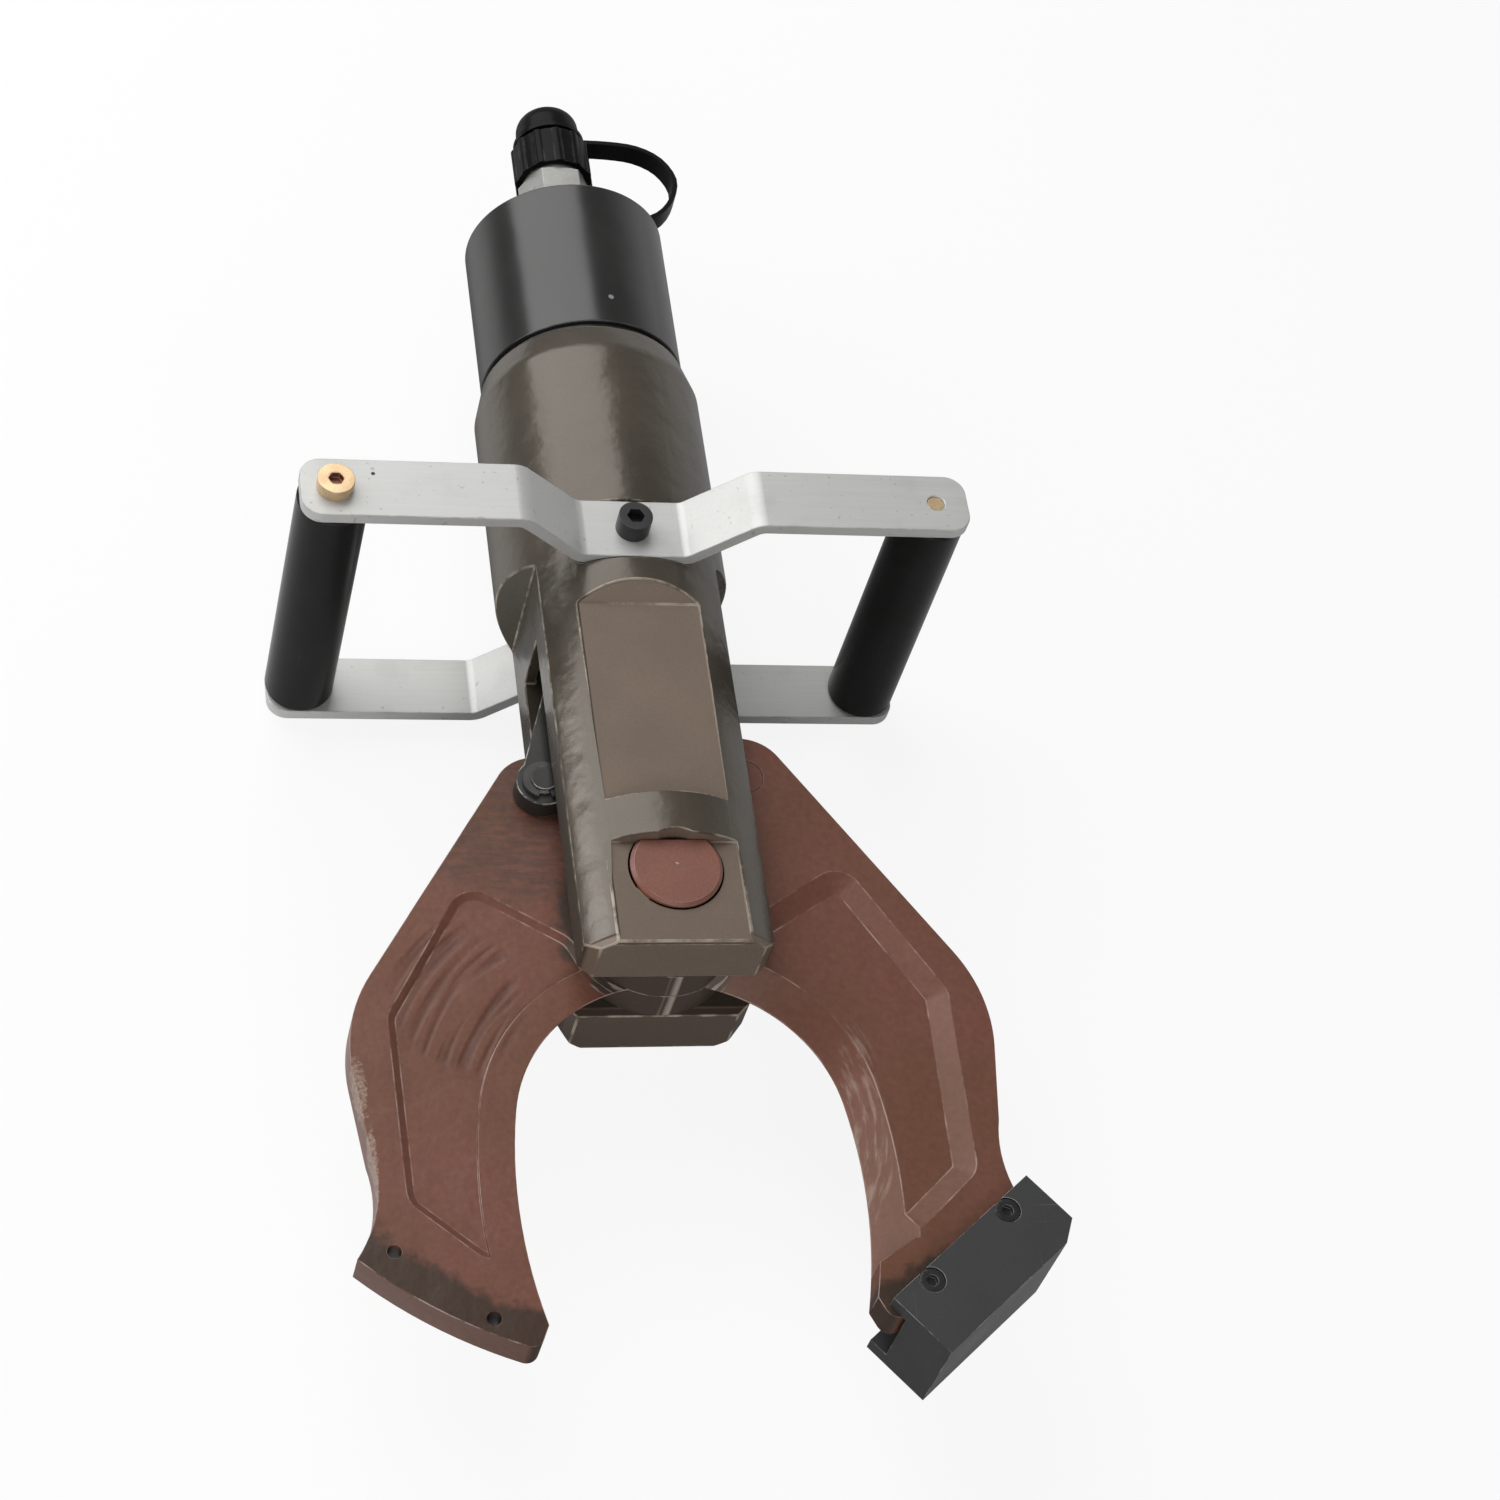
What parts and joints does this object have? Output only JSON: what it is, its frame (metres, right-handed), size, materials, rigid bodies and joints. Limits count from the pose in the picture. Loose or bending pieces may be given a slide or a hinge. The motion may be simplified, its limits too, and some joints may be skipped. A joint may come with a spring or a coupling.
{
  "type": "hydraulic cable cutter head",
  "caption": "remote cable cutting head: two forged jaws on a centre pin, closed by a ram and links in a forked yoke, with strap handles, a tip guide and a capped hose coupler",
  "frame": {"origin": "the centre of the round throat between the open jaws, midway between the front and the rear face of the tool", "axes": "+Y along the tool from the throat to the hose coupler, +Z out of the front face, +X to the right when the front is seen with the coupler away"},
  "size_m": [0.2573, 0.5821, 0.14],
  "materials": {
    "yoke_paint": "bronze-olive enamel, semi-gloss",
    "barrel_black": "black satin paint",
    "jaw_primer": "dark reddish-brown matt paint over forged steel",
    "pin_paint": "dark red-brown paint, worn at the rim",
    "guide_black": "charcoal satin, milled steel",
    "linkage_steel": "dark machined steel",
    "bright_steel": "ground steel",
    "chromed_rod": "hard chrome",
    "spring_steel": "oiled spring wire",
    "bush_bronze": "turned bronze",
    "strap_aluminium": "brushed aluminium with fine scratches",
    "grip_black": "black satin plastic",
    "black_oxide": "black oxide screws",
    "yellow_zinc": "yellow zinc plated steel",
    "bright_zinc": "bright zinc plated steel",
    "seal_rubber": "black seal rubber",
    "wear_ring": "filled plastic",
    "cap_black": "black moulded plastic"
  },
  "bodies": {
    "frame": {"yoke_body": "yoke_paint", "cylinder_barrel": "barrel_black", "barrel_o_ring": "seal_rubber", "rod_bush": "bush_bronze", "rod_wiper": "seal_rubber", "return_spring": "spring_steel", "centre_pin": "pin_paint", "centre_pin_washer": "bright_steel", "centre_pin_ring": "spring_steel", "front_strap": "strap_aluminium", "rear_strap": "strap_aluminium", "strap_screws": "black_oxide", "left_grip": "grip_black", "right_grip": "grip_black", "grip_bolts": "yellow_zinc", "port_adapter": "bright_zinc", "adapter_seal": "seal_rubber", "coupler_half": "bright_zinc", "poppet_spring": "spring_steel", "cap_tether": "cap_black"},
    "ram": {"piston": "bright_steel", "piston_seal": "seal_rubber", "piston_wear_ring": "wear_ring", "piston_rod": "chromed_rod", "crosshead": "linkage_steel", "crosshead_pins": "bright_steel"},
    "left_jaw": {"left_jaw": "jaw_primer", "left_link_pin": "linkage_steel", "left_link_clip": "spring_steel"},
    "right_jaw": {"right_jaw": "jaw_primer", "right_link_pin": "linkage_steel", "right_link_clip": "spring_steel", "guide_channel": "guide_black", "guide_screws": "black_oxide"},
    "left_link": {"left_link": "linkage_steel"},
    "right_link": {"right_link": "linkage_steel"},
    "cap": {"dust_cap": "cap_black"},
    "poppet": {"coupler_poppet": "bright_steel"}
  },
  "joints": [
    {"name": "ram_slide", "type": "slide", "parent": "frame", "child": "ram", "axis": [0, -1, 0], "range_m": [0, 0.06], "stiffness_N_per_m": 2000, "springref_m": -0.03, "deforming": ["return_spring"]},
    {"name": "left_jaw_pivot", "type": "hinge", "parent": "frame", "child": "left_jaw", "pos_m": [0, 0.086, 0], "axis": [0, 0, 1], "range_deg": [0, 45]},
    {"name": "right_jaw_pivot", "type": "hinge", "parent": "frame", "child": "right_jaw", "pos_m": [0, 0.086, 0], "axis": [0, 0, -1], "range_deg": [0, 45]},
    {"name": "left_link_pivot", "type": "hinge", "parent": "left_jaw", "child": "left_link", "pos_m": [-0.03763, 0.14179, -0.0069], "axis": [0, 0, -1], "range_deg": [0, 70.5]},
    {"name": "right_link_pivot", "type": "hinge", "parent": "right_jaw", "child": "right_link", "pos_m": [0.03763, 0.14179, 0.0069], "axis": [0, 0, 1], "range_deg": [0, 70.5]},
    {"name": "cap_slide", "type": "slide", "parent": "frame", "child": "cap", "axis": [0, 1, 0], "range_m": [0, 0.03], "deforming": ["cap_tether"]},
    {"name": "poppet_slide", "type": "slide", "parent": "frame", "child": "poppet", "axis": [0, -1, 0], "range_m": [0, 0.003], "stiffness_N_per_m": 1500, "springref_m": -0.003, "deforming": ["poppet_spring"]}
  ],
  "couplings": [
    {"joint": "left_jaw_pivot", "follows": "ram_slide", "rad_per_m": 13.09},
    {"joint": "right_jaw_pivot", "follows": "ram_slide", "rad_per_m": 13.09},
    {"joint": "left_link_pivot", "follows": "ram_slide", "rad_per_m": 20.45},
    {"joint": "right_link_pivot", "follows": "ram_slide", "rad_per_m": 20.45}
  ]
}
